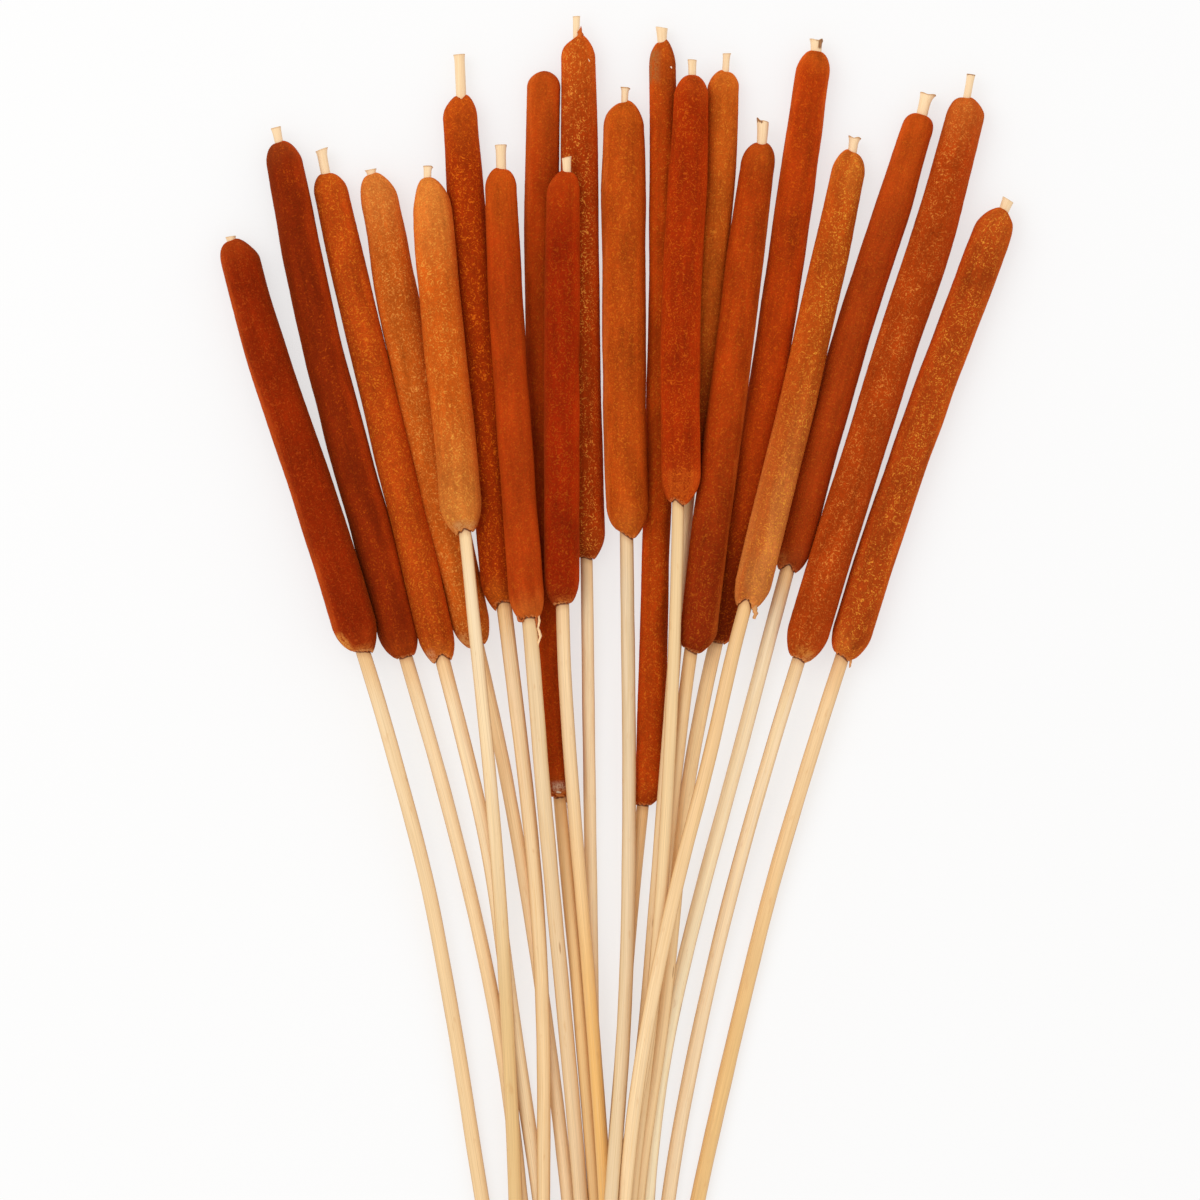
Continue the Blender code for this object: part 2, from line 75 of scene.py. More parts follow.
class Shader:
    def __init__(self, name):
        self.material = bpy.data.materials.new(name)
        self.material.use_nodes = True
        self.tree = self.material.node_tree
        self.surface = self.tree.nodes["Principled BSDF"]

    # Adds a node with its settings first, then its sockets, and returns one output
    def node(self, kind, settings=None, sockets=None, output=0):
        made = self.tree.nodes.new("ShaderNode" + kind)
        for name, value in (settings or {}).items():
            setattr(made, name, value)
        for name, value in (sockets or {}).items():
            self.join(made.inputs[name], value)
        return Wire(self, made.outputs[output])

    def join(self, socket, value):
        if isinstance(value, Wire):
            self.tree.links.new(value.socket, socket)
        elif socket.type == "RGBA" and len(value) == 3:
            socket.default_value = (*value, 1)
        else:
            socket.default_value = value

    def mix(self, factor, first, second, blend="MIX"):
        return self.node("Mix", {"data_type": "RGBA", "blend_type": blend, "clamp_factor": True},
                         {0: factor, 6: first, 7: second}, 2)

    def scaled(self, colour, factor):
        return self.node("VectorMath", {"operation": "SCALE"}, {0: colour, "Scale": factor})

    def fade(self, value, low, high):
        return self.node("MapRange", {"interpolation_type": "SMOOTHSTEP"},
                         {"Value": value, "From Min": low, "From Max": high})

    def attribute(self, name, output="Vector"):
        return self.node("Attribute", {"attribute_name": name}, None, output)

    def stretched(self, place, scale):
        return self.node("VectorMath", {"operation": "MULTIPLY"}, {0: place, 1: scale})

    def shifted(self, place, step):
        return self.node("VectorMath", {"operation": "ADD"}, {0: place, 1: step})

    def third(self, vector):
        return self.node("SeparateXYZ", None, {0: vector}, "Z")

    # 1 where a spot faces an angle round the stem, -1 where it faces away
    def facing(self, around, angle):
        towards = (math.cos(math.radians(angle)), math.sin(math.radians(angle)), 0)
        return self.node("VectorMath", {"operation": "DOT_PRODUCT"}, {0: around, 1: towards}, "Value")

    def cells(self, place, scale):
        return self.node("TexVoronoi", {"feature": "F1"}, {"Vector": place, "Scale": scale})

    def bump(self, height, strength, distance):
        return self.node("Bump", None, {"Strength": strength, "Distance": distance * millimetre,
                                        "Height": height})

    def noise(self, place, scale=1.0, detail=2.0, roughness=0.5, distortion=0.0):
        return self.node("TexNoise", {"noise_dimensions": "3D"},
                         {"Vector": place, "Scale": scale, "Detail": detail,
                          "Roughness": roughness, "Distortion": distortion})

    def finish(self, sockets):
        for name, value in sockets.items():
            self.join(self.surface.inputs[name], value)
        return self.material


# A colour as the eye reads it on a screen, 0 to 255
def shade(red, green, blue):
    return tuple(((v / 255 + 0.055) / 1.055) ** 2.4 if v > 10 else v / 255 / 12.92
                 for v in (red, green, blue))


# Lines and forms read from the frame

solidShare = 0.965        # the frame's radii leave room for the nap
stalkCorners = 8          # corners of one ring of a stalk in the frame
headCorners = 10
boreReach = 3.4           # a head's bore stays nearer to the stalk's middle line than this, mm
endZone = 7.0             # the frame's rings nearer than this to a head's end aren't read, mm
floorGap = 0.02           # what lies on the floor stays this far above it, mm


def cornersOf(node):
    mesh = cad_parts[node].data
    points = np.empty(len(mesh.vertices) * 3, np.float32)
    mesh.vertices.foreach_get("co", points)
    points = np.unique(np.round(points.reshape(-1, 3) / millimetre, 3), axis=0)
    spread = points - points.mean(axis=0)
    axis = np.linalg.svd(spread, full_matrices=False)[2][0]
    axis *= -np.sign(axis[1])              # from the heads towards the feet
    down = spread @ axis
    order = down.argsort()
    return points[order], down[order]


def ringsOf(points, corners):
    rings = points.reshape(-1, corners, 3)
    centres = rings.mean(axis=1)
    radii = np.linalg.norm(rings - centres[:, None], axis=2).mean(axis=1)
    return centres, radii / solidShare


def runOf(line):
    return np.concatenate([[0], np.cumsum(np.linalg.norm(np.diff(line, axis=0), axis=1))])


class Line:
    # A natural cubic spline through points, read by the distance along it
    def __init__(self, points):
        self.points = np.array(points, float)
        self.run = runOf(self.points)
        gaps = np.diff(self.run)
        matrix, right = np.eye(len(self.points)), np.zeros_like(self.points)
        for k in range(1, len(self.points) - 1):
            matrix[k, k - 1:k + 2] = gaps[k - 1], 2 * (gaps[k - 1] + gaps[k]), gaps[k]
            right[k] = 6 * ((self.points[k + 1] - self.points[k]) / gaps[k]
                            - (self.points[k] - self.points[k - 1]) / gaps[k - 1])
        self.bend = np.linalg.solve(matrix, right)
        self.length = self.run[-1]

    def at(self, place):
        place = np.asarray(place, float)
        k = np.clip(np.searchsorted(self.run, place) - 1, 0, len(self.run) - 2)
        gap = (self.run[k + 1] - self.run[k])[..., None]
        far = (place - self.run[k])[..., None] / gap
        near = 1 - far
        curved = (near ** 3 - near) * self.bend[k] + (far ** 3 - far) * self.bend[k + 1]
        curved *= ((far >= 0) & (far <= 1))       # straight on past its ends
        return near * self.points[k] + far * self.points[k + 1] + curved * gap ** 2 / 6

    # Ahead along the line, to the left as the photo shows it, and up
    def directions(self, place):
        ahead = self.at(np.asarray(place) + 1.0) - self.at(np.asarray(place) - 1.0)
        ahead /= np.linalg.norm(ahead, axis=-1, keepdims=True)
        left = np.cross(ahead, (0, 0, 1))
        left /= np.linalg.norm(left, axis=-1, keepdims=True)
        return ahead, left, np.cross(left, ahead)

    def nearest(self, point):
        places = np.linspace(0, self.length, 2000)
        return places[np.linalg.norm(self.at(places) - point, axis=1).argmin()]


def smooth(value):
    value = np.clip(value, 0, 1)
    return value * value * (3 - 2 * value)


# What would sink into the floor is pressed flat on it
def rested(points):
    points[..., 2] = np.maximum(points[..., 2], floorGap)
    return points


# Slow waves over a tube: each is a whole number of waves round it and a length along it
def waves(seed, count, rounds, lengths):
    pick = np.random.default_rng(seed)
    turns = pick.integers(rounds[0], rounds[1] + 1, count)
    steps = 2 * math.pi / pick.uniform(*lengths, count) * pick.choice((-1, 1), count)
    starts = pick.uniform(0, 2 * math.pi, count)

    def height(run, angle):
        total = np.zeros(np.broadcast(run, angle).shape)
        for turn, step, start in zip(turns, steps, starts):
            total += np.cos(turn * angle + step * run + start)
        return total / math.sqrt(count)
    return height


# A bump on a rim: how far each angle's edge reaches past the plain end
def rimShape(angle, bumps):
    reach = np.zeros_like(angle)
    for centre, width, amount in bumps:
        off = np.abs((np.degrees(angle) - centre + 180) % 360 - 180) / width
        reach += amount * np.exp(-off ** 2)
    return reach


# A tube from rings: place(row, angle) gives its points, and rows count up from the foot
def tube(name, sides, rows, hollow, place):
    bm = bmesh.new()
    bmesh.ops.create_cone(bm, cap_ends=not hollow, segments=sides, radius1=1, radius2=1, depth=1)
    upright = [edge for edge in bm.edges if abs(edge.verts[0].co.z - edge.verts[1].co.z) > 0.5]
    bmesh.ops.subdivide_edges(bm, edges=upright, cuts=rows - 2)
    if hollow:
        bmesh.ops.bridge_loops(bm, edges=[edge for edge in bm.edges if edge.is_boundary])
    mesh = bpy.data.meshes.new(name)
    bm.to_mesh(mesh)
    bm.free()
    unit = np.empty(len(mesh.vertices) * 3, np.float32)
    mesh.vertices.foreach_get("co", unit)
    unit = unit.reshape(-1, 3)
    row = np.rint((unit[:, 2] + 0.5) * (rows - 1)).astype(int)
    points, marks = place(row, np.arctan2(unit[:, 1], unit[:, 0]))
    mesh.vertices.foreach_set("co", (points * millimetre).astype(np.float32).ravel())
    addMarks(mesh, marks)
    mesh.shade_smooth()
    mesh.update()
    return addPiece(name, mesh)


def addMarks(mesh, marks):
    for name, values in marks.items():
        kind = "FLOAT_VECTOR" if values.ndim == 2 else "FLOAT"
        attribute = mesh.attributes.new(name, kind, "POINT")
        attribute.data.foreach_set("vector" if values.ndim == 2 else "value",
                                   values.astype(np.float32).ravel())


def addPiece(name, mesh):
    piece = bpy.data.objects.new(name, mesh)
    bpy.context.scene.collection.objects.link(piece)
    return piece


# Where things are round a stem, in degrees, as the photo looks down on it
leftSide, topSide, rightSide = 0, 90, 180


# Stalks

stalkSides = 22
stalkStep = 3.5           # between rings, mm
neckShare = 0.88          # a tip is thinner where it leaves the head
cutRings = 4              # the innermost rings of a cut end show its core
# (distance from the end in mm, share of the radius) of the rings near each end, along the straw
footCut = [(0.45, 0.02), (0.3, 0.5), (0.05, 0.86), (0.0, 0.93), (0.12, 0.985), (0.5, 1.0)]
tipCut = [(6.0, 1.0), (4.5, 1.0), (3.2, 1.0), (2.2, 1.0), (1.4, 1.0), (0.8, 1.0), (0.4, 1.0),
          (0.15, 0.985), (0.0, 0.93), (0.06, 0.84), (0.3, 0.5), (0.4, 0.02)]
# Colours that all straws share
strawInks = dict(blotch=(206, 150, 92), knot=(150, 92, 42), shadow=(176, 112, 58),
                 contact=(112, 44, 6), tipPale=(246, 216, 175), tipDark=(238, 205, 160),
                 tipRim=(182, 122, 64), scarDark=(108, 58, 20), scarPale=(168, 104, 44),
                 corePale=(224, 182, 124), coreDark=(170, 112, 58))


class Stalk:
    def __init__(self, name):
        points, _ = cornersOf("stalk_" + name)
        centres, self.ringRadii = ringsOf(points, stalkCorners)
        self.line = Line(centres)
        self.length = self.line.length

    def radius(self, place):
        return np.interp(place, self.line.run, self.ringRadii)


def straw(name, stalk, head, facts, seed):
    tip = facts["tip"]
    hem = facts["form"]["hem"]
    flareLeft, flareRight = tip["flare"]
    lumps = waves(seed, 10, (0, 3), (18, 90))
    fine = waves(seed + 1, 8, (4, 9), (60, 300))
    middle = np.arange(stalk.length - 4, 8, -stalkStep)
    runs = np.array([stalk.length - away for away, _ in footCut] + list(middle)
                    + [away for away, _ in tipCut])
    shares = np.array([share for _, share in footCut] + [1.0] * len(middle)
                      + [share for _, share in tipCut])
    cut = np.zeros(len(runs))
    cut[:cutRings] = 1
    cut[-cutRings:] = 1

    def place(row, angle):
        run, share = runs[row], shares[row]
        leftness = np.cos(angle)
        nearTip = np.exp(-run / tip["reach"])
        base = stalk.radius(run)
        base = base * (1 - (1 - neckShare) * (smooth(1 - (run - tip["neck"]) / 4)) * (1 - nearTip))
        radius = base * (1 + 0.014 * lumps(run, angle)) + 0.02 * fine(run, angle)
        radius += (flareLeft * np.clip(leftness, 0, 1) + flareRight * np.clip(-leftness, 0, 1)) * nearTip
        along = run - tip["slant"] * -leftness * 0.5 * share * np.exp(-run / 2.5)
        along -= rimShape(angle, tip["rim"]) * np.exp(-run / 0.7) * smooth(share * 1.4 - 0.3)
        _, left, up = stalk.line.directions(run)
        centre = stalk.line.at(along) + left * (tip["bend"] * np.exp(-run / tip["bendReach"]))[:, None]
        out = (np.cos(angle) * facts["wide"])[:, None] * left + np.sin(angle)[:, None] * up
        size = radius * share
        straight = np.column_stack([size * np.cos(angle), size * np.sin(angle), run])
        around = np.column_stack([np.cos(angle), np.sin(angle), np.ones(len(angle))])
        below = run - head.stalkFoot - rimShape(angle, hem)
        return rested(centre + out * size[:, None]), {"straight": straight, "around": around,
                                                      "cut": cut[row], "below": below}

    piece = tube("straw" + name, stalkSides, len(runs), False, place)
    piece.data.materials.append(strawMaterial(name, stalk, facts, seed))
    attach(piece, "root")
    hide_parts("stalk_" + name)


def strawMaterial(name, stalk, facts, seed):
    look, tip = facts["straw"], facts["tip"]
    sh = Shader("straw" + name)
    inks = {key: shade(*colour) for key, colour in strawInks.items()}
    own = sh.attribute("straight")
    straight = sh.shifted(own, (seed * 7.3, seed * 3.1, seed * 11.7))
    along = sh.third(own)
    around = sh.attribute("around")
    leftward = sh.facing(around, leftSide)
    cut = sh.attribute("cut", "Fac")
    below = sh.attribute("below", "Fac")     # how far below the head's rim a spot is, mm
    broad = sh.noise(sh.stretched(straight, (0.5, 0.5, 0.02)), 1, 2)
    fibres = sh.noise(sh.stretched(straight, (2.4, 2.4, 0.04)), 1, 2, 0.6)
    blotch = sh.noise(sh.stretched(straight, (0.5, 0.5, 0.12)), 1, 2, 0.6)
    streaks = sh.noise(sh.stretched(straight, (5.0, 5.0, 0.02)), 1, 1)
    body = sh.mix(sh.fade(broad, 0.35, 0.65), shade(*look["pale"]), shade(*look["mid"]))
    body = sh.mix(sh.fade(along, 0.5 * stalk.length, 0.8 * stalk.length), body, shade(*look["low"]))
    body = sh.mix(sh.fade(fibres, 0.5, 0.7) * 0.45, body, shade(*look["deep"]))
    body = sh.mix((1 - sh.fade(below, 0, 24)) * 0.6, body, shade(*look["neck"]))
    # Lengthwise streaks, and painted shade: the left side a little darker, the right a little lighter
    body = sh.scaled(body, 1 + (streaks - 0.5) * 0.5 - leftward * 0.07)
    # Painted shade: towards the sides it is more orange, and ends in a thin darker line where it turns away
    sideways = leftward.away() + (fibres - 0.5) * 0.12
    body = sh.mix(sh.fade(sideways, 0.6, 0.95) * 0.55, body, shade(*look["deep"]))
    body = sh.mix(sh.fade(sideways, 0.9, 0.985) * 0.8, body, shade(*look["line"]))
    body = sh.mix(sh.fade(blotch, 0.62, 0.8) * 0.4, body, inks["blotch"])
    # A few small knots
    knot = 1 - sh.fade(sh.cells(sh.stretched(straight, (0.16, 0.16, 0.022)), 1.0), 0.03, 0.075)
    body = sh.mix(knot * 0.6, body, inks["knot"])
    # Painted shade, and a thin painted contact shadow, where it comes out of the head
    shadow = sh.fade(below, -2, -1) * (1 - sh.fade(below, 0.2, 3.5))
    body = sh.mix(shadow * 0.4, body, inks["shadow"])
    contact = sh.fade(below, -1.5, -0.3) * (1 - sh.fade(below + (blotch - 0.5) * 0.8, 0.25, 0.8))
    body = sh.mix(contact * 0.9, body, inks["contact"])
    # The tip is paler, its cut a little browner
    tipMask = 1 - sh.fade(along, tip["neck"] - 1.0, tip["neck"] + 3.0)
    body = sh.mix(tipMask * 0.8, body,
                  sh.mix(sh.fade(fibres, 0.45, 0.65), inks["tipPale"], inks["tipDark"]))
    rimMask = 1 - sh.fade(along, 0.1, 0.8)
    body = sh.mix(rimMask * tip["brown"], body, inks["tipRim"])
    if tip["scar"]:
        angle, width, reach = tip["scar"]
        edge = math.cos(math.radians(width))
        scar = (sh.fade(sh.facing(around, angle) + (blotch - 0.5) * 0.6, edge - 0.1, edge + 0.1)
                * (1 - sh.fade(along + (fibres - 0.5) * 2, reach * 0.8, reach * 1.1)))
        body = sh.mix(scar * 0.9, body, sh.mix(sh.fade(fibres, 0.4, 0.6), inks["scarDark"], inks["scarPale"]))
    body = sh.mix(cut * 0.8, body, sh.mix(sh.fade(fibres, 0.4, 0.6), inks["corePale"], inks["coreDark"]))
    return sh.finish({"Base Color": body, "Roughness": 0.48, "Specular IOR Level": 0.25,
                      "Normal": sh.bump(fibres * 0.8 - knot * 0.5, 0.3, 0.1)})


# Heads

headSides = 64
headStep = 1.5            # between rings, mm
leanReach = 9.0           # an end leans to the stalk over this length, mm
topZone = 15.0            # rings stand closer together this far from the ends, mm
napInset = 0.10           # the skin lies this far inside the measured outline, mm
ragged = 0.3              # how uneven the rim at a head's foot is, mm
velvetInks = dict(fringe=(222, 152, 88), sheen=(255, 120, 20))     # shared by all heads


class Head:
    def __init__(self, name, facts, stalk, seed):
        self.name, self.facts, self.stalk, self.seed = name, facts, stalk, seed
        points, down = cornersOf("head_" + name)
        stalkPoints = stalk.line.at(np.linspace(0, stalk.length, 1600))
        away = np.array([np.linalg.norm(stalkPoints - point, axis=1).min() for point in points])
        inner = (away > boreReach) & (down > down[0] + endZone) & (down < down[-1] - endZone)
        centres, radii = ringsOf(points[inner], headCorners)
        places = down[inner].reshape(-1, headCorners).mean(axis=1)
        first = centres[0] + (centres[0] - centres[1]) * (places[0] - down[0]) / (places[1] - places[0])
        last = centres[-1] + (centres[-1] - centres[-2]) * (down[-1] - places[-1]) / (places[-1] - places[-2])
        self.line = Line(np.vstack([first, centres, last]))
        self.length = self.line.length
        self.ringRuns = self.line.run[1:-1]
        self.ringRadii = radii - napInset
        self.stalkTop = stalk.line.nearest(first)
        self.stalkFoot = stalk.line.nearest(last)
        self.lumps = waves(seed, 9, (1, 3), (22, 80))
        self.ridges = waves(seed + 3, 8, (4, 9), (60, 220))
        self.dimples = waves(seed + 5, 22, (6, 20), (2.5, 9))
        self.rags = waves(seed + 7, 12, (4, 15), (3, 8))
        self.middleRadius = self.ringRadii[2:4].mean()
        footRadius = stalk.radius(self.stalkFoot)
        self.lip = facts["form"]["lip"] + (facts["wide"] - 1) * footRadius

    # Radii of the stalk where it leaves the head at the top and at the foot
    def mouths(self):
        top = 0.05 if self.facts["closed"] else self.stalk.radius(self.stalkTop) * neckShare
        return top, self.stalk.radius(self.stalkFoot)

    # Radius of the skin, and how far its rims reach past the plain ends
    def skinRadius(self, run, angle):
        form = self.facts["form"]
        plain = np.interp(run, self.ringRuns, self.ringRadii)
        topMouth, footMouth = self.mouths()
        fromTop = np.clip(run / (form["dome"] * self.ringRadii[0]), 0, 1)
        fromFoot = np.clip((self.length - run) / (form["taper"] * self.ringRadii[-1]), 0, 1)
        topShare = (1 - (1 - fromTop) ** form["domePower"]) ** 0.6
        footShare = (1 - (1 - fromFoot) ** form["footPower"]) ** 0.64
        mouth = topMouth + 0.06
        lip = footMouth + self.lip
        radius = mouth + (plain - mouth) * topShare
        radius = np.where(fromFoot < 1, lip + (radius - lip) * footShare, radius)
        relief = 0.10 * self.lumps(run, angle) + form["ridge"] * self.ridges(run, angle)
        relief += 0.022 * self.dimples(run, angle)
        for centre, width, depth, start, end in form["creases"]:
            share = run / self.length
            fade = 0.2 if width > 20 else 0.06         # a wide dent ends slowly
            reach = smooth((share - start) / fade) * smooth((end - share) / fade)
            relief -= reach * rimShape(angle, ((centre, width, depth),))
        calm = smooth(run / 5) * smooth((self.length - run) / 5)
        return radius + relief * (0.15 + 0.85 * calm)

    def place(self, run, angle, radius):
        form = self.facts["form"]
        reachTop = rimShape(angle, form["crown"]) * np.exp(-run / 4.0)
        reachFoot = rimShape(angle, form["hem"]) * np.exp(-(self.length - run) / 5.0)
        reachFoot = reachFoot + ragged * self.rags(run, angle) * np.exp(-(self.length - run) / 1.5)
        along = run - reachTop + reachFoot
        _, left, up = self.line.directions(run)
        centre = self.line.at(along)
        # The open ends lean over to the stalk
        leanTop = np.clip(1 - run / leanReach, 0, 1) ** 1.5 * (not self.facts["closed"])
        leanFoot = np.clip(1 - (self.length - run) / leanReach, 0, 1) ** 1.5
        for lean, stalkRun in ((leanTop, self.stalkTop + along),
                               (leanFoot, self.stalkFoot + along - self.length)):
            centre = centre + lean[..., None] * (self.stalk.line.at(stalkRun) - centre)
        out = np.cos(angle)[..., None] * left + np.sin(angle)[..., None] * up
        return rested(centre + out * radius[..., None])

    def skin(self, run, angle, lift=0.0):
        return self.place(run, angle, self.skinRadius(run, angle) + lift)

    def normal(self, run, angle):
        here = self.skin(run, angle)
        down = self.skin(run + 0.1, angle) - here
        sideways = self.skin(run, angle + 0.02) - here
        normal = np.cross(sideways, down)
        return here, normal / np.linalg.norm(normal, axis=-1, keepdims=True)


def velvet(head):
    zone = np.linspace(0, 1, 22) ** 1.7 * topZone
    middle = np.arange(topZone, head.length - topZone, headStep)[1:]
    outer = np.concatenate([zone, middle, (head.length - zone)[::-1]])[::-1]
    topMouth, footMouth = head.mouths()
    # (distance from the end, radius) of the bore, which closes on the stalk a little way in
    topBore = [(0.25, topMouth - 0.02), (0.8, topMouth * 0.96), (2.0, topMouth * 0.9)]
    footBore = [(4.0, footMouth * 0.9), (1.8, footMouth * 0.97), (0.9, footMouth + 0.05),
                (0.35, footMouth + head.lip * 0.5), (0.1, footMouth + head.lip * 0.85)]
    middleBore = np.arange(6, head.length - 6, 8.0)
    boreRuns = np.concatenate([[away for away, _ in topBore], middleBore,
                               [head.length - away for away, _ in footBore]])
    boreRadii = np.concatenate([[size for _, size in topBore],
                                np.interp(middleBore, [0, head.length], [topMouth * 0.9, footMouth * 0.9]),
                                [size for _, size in footBore]])
    runs = np.concatenate([outer, boreRuns])
    isSkin = np.arange(len(runs)) < len(outer)

    def place(row, angle):
        run = runs[row]
        bore = np.concatenate([np.zeros(len(outer)), boreRadii])[row]
        radius = np.where(isSkin[row], head.skinRadius(run, angle), bore)
        points = head.place(run, angle, radius)
        straight = np.column_stack([radius * np.cos(angle), radius * np.sin(angle), run])
        around = np.column_stack([np.cos(angle), np.sin(angle), np.ones(len(angle))])
        return points, {"straight": straight, "around": around}

    piece = tube("velvet" + head.name, headSides, len(runs), True, place)
    piece.data.materials.append(head.finish)
    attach(piece, "root")
    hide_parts("head_" + head.name)


def velvetMaterial(head):
    look = head.facts["velvet"]
    sh = Shader("velvet" + head.name)
    own = sh.attribute("straight")
    straight = sh.shifted(own, (head.seed * 5.1, head.seed * 9.7, head.seed * 2.3))
    along = sh.third(own)
    around = sh.attribute("around")
    tone = sh.third(around)            # 1 on the skin, a little off it on each fibre
    leftward, rightward = sh.facing(around, leftSide), sh.facing(around, rightSide)
    cloud = sh.noise(sh.stretched(straight, (0.13, 0.13, 0.045)), 1, 2)
    brushed = sh.noise(sh.stretched(straight, (0.7, 0.7, 0.05)), 1, 2, 0.6)
    mottle = sh.noise(straight, 0.36, 2, 0.6)
    grain = sh.noise(straight, 1.5, 1, 0.6)
    wander = (cloud - 0.5) * 20
    body = sh.mix(1 - sh.fade(along + wander, 0.0, look["crownReach"]), shade(*look["base"]),
                  shade(*look["crown"]))
    body = sh.mix(sh.fade(along + wander, head.length - look["footReach"], head.length), body,
                  shade(*look["foot"]))
    # Lengthwise bands of colour: partly the head's own streaks, partly painted light and shade on its left
    # and right sides
    for angle, width, colour, amount in look["bandsAndSideShading"]:
        bandAndSideShading = sh.fade(sh.facing(around, angle) + (cloud - 0.5) * 0.5 + (brushed - 0.5) * 0.3,
                       math.cos(math.radians(width)), 1.0)
        body = sh.mix(bandAndSideShading * amount, body, shade(*colour))
    light = shade(*look["fleck"])
    unevenness = ((cloud - 0.5) * 0.9 + (brushed - 0.5) * 0.4 + (mottle - 0.5) * look["mottle"]
                  + (grain - 0.5) * 0.6)
    body = sh.scaled(body, tone * (1 + unevenness))
    # Painted light: both sides are lighter, as velvet's sheen makes them, up to a thin line of painted shade
    # where they turn away
    leftLight, rightLight = look["sides"]
    paintedSideLight = (sh.fade(leftward, 0.35, 0.9) * leftLight
                 + sh.fade(rightward, 0.35, 0.9) * rightLight)
    sideways = leftward.away() + (brushed - 0.5) * 0.04
    body = sh.scaled(body, (1 + paintedSideLight) * (1 - sh.fade(sideways, 0.965, 1.0) * look["paintedRimShade"]))
    # Short winding strokes, light and dark, along the contour lines of a slow noise
    winding = sh.noise(straight, 0.4, 1, 0.45, 0.8)
    level = winding.calc("PINGPONG", winding * 4.4, 0.5)
    stroke = (1 - sh.fade(level, 0.06, 0.17)) * sh.fade(grain, 0.4, 0.52)
    hollow = sh.fade(level, 0.28, 0.42)
    body = sh.scaled(body, 1 - hollow * look["strokes"] * 0.3)
    body = sh.mix(stroke * look["strokes"], body, light)
    # Pale grains, thickest on one side
    patch = sh.fade(mottle + (cloud - 0.5) * 0.8, 0.4, 0.56)
    dot = (1 - sh.fade(sh.cells(straight, 0.75), 0.14, 0.32)) * sh.fade(brushed, 0.4, 0.55)
    zone = sh.fade(sh.facing(around, look["fleckSide"]) + (cloud - 0.5) * 0.5, look["fleckSpread"], 1.0)
    fleck = (dot * 0.9 + stroke * 0.8) * patch * zone
    body = sh.mix(fleck * look["flecks"], body, light)
    # Paler or darker spots near an end: distances below zero count back from the foot
    for angle, spread, start, end, colour, amount in look["scuffs"]:
        start, end = (place + (head.length if place <= 0 else 0) for place in (start, end))
        spot = (sh.fade(sh.facing(around, angle) + (cloud - 0.5) * 0.6, spread, 1.0)
                * sh.fade(along, start - 1.5, start + 1.5) * (1 - sh.fade(along, end - 1.5, end + 1.5)))
        body = sh.mix(spot * sh.fade(grain + brushed, 0.7, 1.15) * amount, body, shade(*colour))
    # A light frayed edge at the foot
    edge = sh.fade(along, head.length - 1.1, head.length - 0.1) * sh.fade(grain, 0.35, 0.6)
    body = sh.mix(edge * look["fringe"], body, shade(*velvetInks["fringe"]))
    height = grain * 0.4 + mottle * 0.2 + fleck * look["flecks"] * 0.9 + stroke * 0.6 - hollow * 0.2
    return sh.finish({"Base Color": body, "Roughness": 0.95, "Normal": sh.bump(height, 0.7, 0.2),
                      "Specular IOR Level": 0.05, "Sheen Weight": 0.22,
                      "Sheen Roughness": 0.5, "Sheen Tint": shade(*velvetInks["sheen"])})


# The nap: short fibres that stand on the skin and lean together in slow swirls

# Density is in fibres for each square millimetre of length times radius, sizes are in mm, angles
# in radians, and tone is how much darker or lighter than the skin a fibre may be
fibre = dict(density=9.0, long=(0.25, 0.6), half=(0.03, 0.06), lean=(0.3, 1.3), root=0.08,
             swirl=1.2, stray=0.9, twist=0.6, tone=(0.9, 1.15))


def nap(head):
    count = int(head.length * head.middleRadius * fibre["density"])
    pick = np.random.default_rng(head.seed + 40)
    run = pick.uniform(0.3, head.length - 0.5, count)
    angle = pick.uniform(0, 2 * math.pi, count)
    root, normal = head.normal(run, angle)
    swirl = waves(head.seed + 9, 8, (0, 4), (6, 40))
    turn = swirl(run, angle) * fibre["swirl"] + pick.normal(0, fibre["stray"], count)
    ahead, _, _ = head.line.directions(run)
    across = np.cross(normal, ahead)
    across /= np.linalg.norm(across, axis=1, keepdims=True)
    flat = np.cos(turn)[:, None] * across - np.sin(turn)[:, None] * np.cross(normal, across)
    lean = pick.uniform(*fibre["lean"], count)[:, None]
    long = pick.uniform(*fibre["long"], count)[:, None]
    grow = normal * np.cos(lean) + flat * np.sin(lean)
    wide = np.cross(grow, normal + pick.normal(0, fibre["twist"], (count, 3)))
    wide /= np.linalg.norm(wide, axis=1, keepdims=True)
    half = pick.uniform(*fibre["half"], count)[:, None]
    base = root - normal * fibre["root"]
    points = np.stack([base - wide * half, base + wide * half, root + grow * long], axis=1)
    clear = points[:, :, 2].min(axis=1) > floorGap      # none reach through the floor
    points, normal, run, angle = points[clear], normal[clear], run[clear], angle[clear]
    radius = head.skinRadius(run, angle)
    straight = np.column_stack([radius * np.cos(angle), radius * np.sin(angle), run])
    around = np.column_stack([np.cos(angle), np.sin(angle), pick.uniform(*fibre["tone"], len(run))])
    mesh = bpy.data.meshes.new("nap" + head.name)
    count = len(points)
    mesh.vertices.add(count * 3)
    mesh.vertices.foreach_set("co", (points * millimetre).astype(np.float32).ravel())
    mesh.loops.add(count * 3)
    mesh.loops.foreach_set("vertex_index", np.arange(count * 3, dtype=np.int32))
    mesh.polygons.add(count)
    mesh.polygons.foreach_set("loop_start", np.arange(0, count * 3, 3, dtype=np.int32))
    addMarks(mesh, {"straight": np.repeat(straight, 3, axis=0), "around": np.repeat(around, 3, axis=0)})
    mesh.update(calc_edges=True)
    mesh.shade_smooth()
    mesh.normals_split_custom_set(np.repeat(normal, 3, axis=0).astype(np.float32))
    mesh.materials.append(head.finish)
    piece = addPiece("nap" + head.name, mesh)
    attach(piece, "root")


# Frayed bits: a curled strip along a line, as wide as its list of widths says

frillThickness = 0.12     # mm


